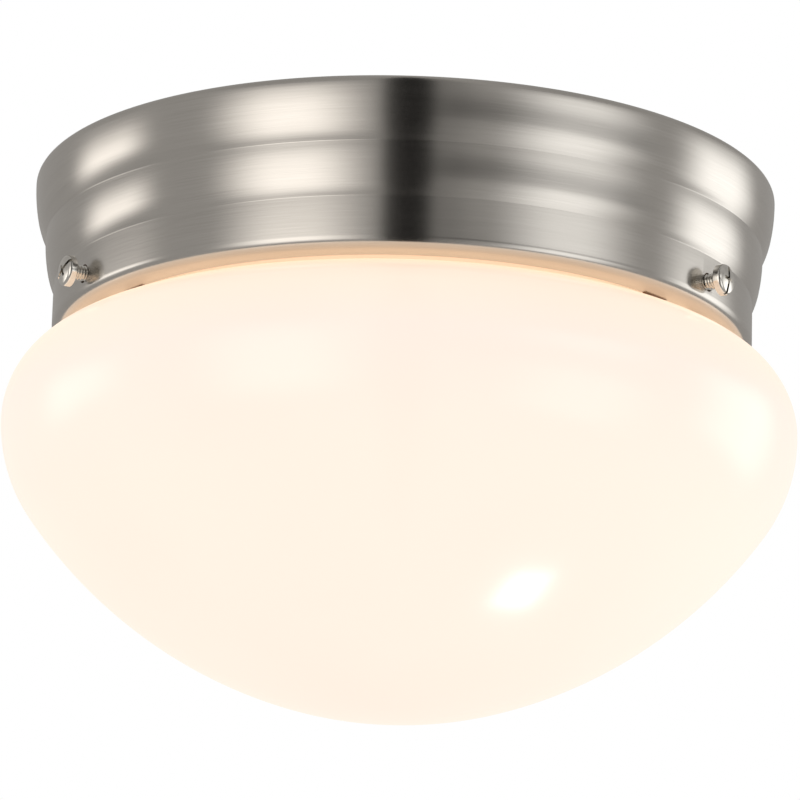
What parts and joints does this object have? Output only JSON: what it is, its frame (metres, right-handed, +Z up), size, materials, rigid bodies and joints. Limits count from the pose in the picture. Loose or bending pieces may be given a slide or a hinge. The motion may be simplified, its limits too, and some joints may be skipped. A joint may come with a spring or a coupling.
{
  "type": "flush mount ceiling light",
  "caption": "Round flush mount ceiling light: a stepped brushed metal canopy holds a deep mushroom bowl of opal glass with side screws.",
  "frame": {"origin": "on the fixture's axis in the ceiling plane, which is the plane of the canopy's top flange and of the strap's ends", "axes": "+Z up towards the ceiling; -Y is the side the picture looks at, midway between two of the shade screws; +X along the lamp, away from the lampholder"},
  "size_m": [0.197, 0.197, 0.1334],
  "materials": {
    "brushed_nickel": "satin nickel plate, brushed round the ring",
    "white_enamel": "white baked enamel",
    "glass_fibre": "matted glass fibre",
    "zinc_steel": "zinc plated steel",
    "bright_nickel": "bright nickel plate",
    "green_screw": "green",
    "spring_steel": "bronzed spring steel",
    "porcelain": "glazed porcelain",
    "brass": "plain brass",
    "black_nylon": "black nylon",
    "black_lead": "black insulation",
    "white_lead": "white insulation",
    "green_lead": "green insulation",
    "splice_plastic": "moulded plastic",
    "opal_glass": "glossy opal, lit from inside",
    "soft_tip": "natural nylon",
    "black_glass": "black insulator",
    "bulb_metal": "nickel plated screw base",
    "bulb_plastic": "white housing",
    "bulb_frost": "frosted diffuser"
  },
  "bodies": {
    "canopy": {"canopy_shell": "brushed_nickel", "back_plate": "white_enamel", "insulation_pad": "glass_fibre", "mounting_strap": "zinc_steel", "mounting_studs": "zinc_steel", "stud_washers": "zinc_steel", "cap_nuts": "bright_nickel", "ground_screw": "green_screw", "nut_clip_rear": "spring_steel", "nut_clip_left": "spring_steel", "nut_clip_right": "spring_steel", "lampholder_body": "porcelain", "lampholder_shell": "brass", "lampholder_contact": "brass", "lampholder_bracket": "zinc_steel", "lampholder_screws": "zinc_steel", "bracket_rivets": "zinc_steel", "wire_bushing": "black_nylon", "line_lead": "black_lead", "neutral_lead": "white_lead", "ground_lead": "green_lead", "wire_splices": "splice_plastic"},
    "shade": {"glass_shade": "opal_glass"},
    "bulb": {"bulb_contact": "brass", "bulb_insulator": "black_glass", "bulb_base_shell": "bulb_metal", "bulb_housing": "bulb_plastic", "bulb_diffuser": "bulb_frost"},
    "tip_rear": {"screw_tip_rear": "soft_tip"},
    "screw_rear": {"shade_screw_rear": "bright_nickel"},
    "tip_left": {"screw_tip_left": "soft_tip"},
    "screw_left": {"shade_screw_left": "bright_nickel"},
    "tip_right": {"screw_tip_right": "soft_tip"},
    "screw_right": {"shade_screw_right": "bright_nickel"}
  },
  "joints": [
    {"name": "shade_drop", "type": "slide", "parent": "canopy", "child": "shade", "axis": [0, 0, -1], "range_m": [0, 0.026]},
    {"name": "screw_travel_rear", "type": "slide", "parent": "canopy", "child": "tip_rear", "axis": [0, 1, 0], "range_m": [0, 0.0058]},
    {"name": "screw_turn_rear", "type": "hinge", "parent": "tip_rear", "child": "screw_rear", "pos_m": [0, 0.09, -0.035], "axis": [0, 1, 0], "range_deg": [0, 2960]},
    {"name": "screw_travel_left", "type": "slide", "parent": "canopy", "child": "tip_left", "axis": [-0.866, -0.5, 0], "range_m": [0, 0.0058]},
    {"name": "screw_turn_left", "type": "hinge", "parent": "tip_left", "child": "screw_left", "pos_m": [-0.07794, -0.045, -0.035], "axis": [-0.866, -0.5, 0], "range_deg": [0, 2960]},
    {"name": "screw_travel_right", "type": "slide", "parent": "canopy", "child": "tip_right", "axis": [0.866, -0.5, 0], "range_m": [0, 0.0058]},
    {"name": "screw_turn_right", "type": "hinge", "parent": "tip_right", "child": "screw_right", "pos_m": [0.07794, -0.045, -0.035], "axis": [0.866, -0.5, 0], "range_deg": [0, 2960]},
    {"name": "bulb_turn", "type": "hinge", "parent": "canopy", "child": "bulb", "pos_m": [0, 0, -0.047], "axis": [1, 0, 0], "range_deg": [0, 1080]}
  ],
  "couplings": [
    {"joint": "screw_travel_rear", "follows": "shade_drop", "ratio": 0.22},
    {"joint": "screw_turn_rear", "follows": "shade_drop", "rad_per_m": 1974.7},
    {"joint": "screw_travel_left", "follows": "shade_drop", "ratio": 0.22},
    {"joint": "screw_turn_left", "follows": "shade_drop", "rad_per_m": 1974.7},
    {"joint": "screw_travel_right", "follows": "shade_drop", "ratio": 0.22},
    {"joint": "screw_turn_right", "follows": "shade_drop", "rad_per_m": 1974.7}
  ]
}
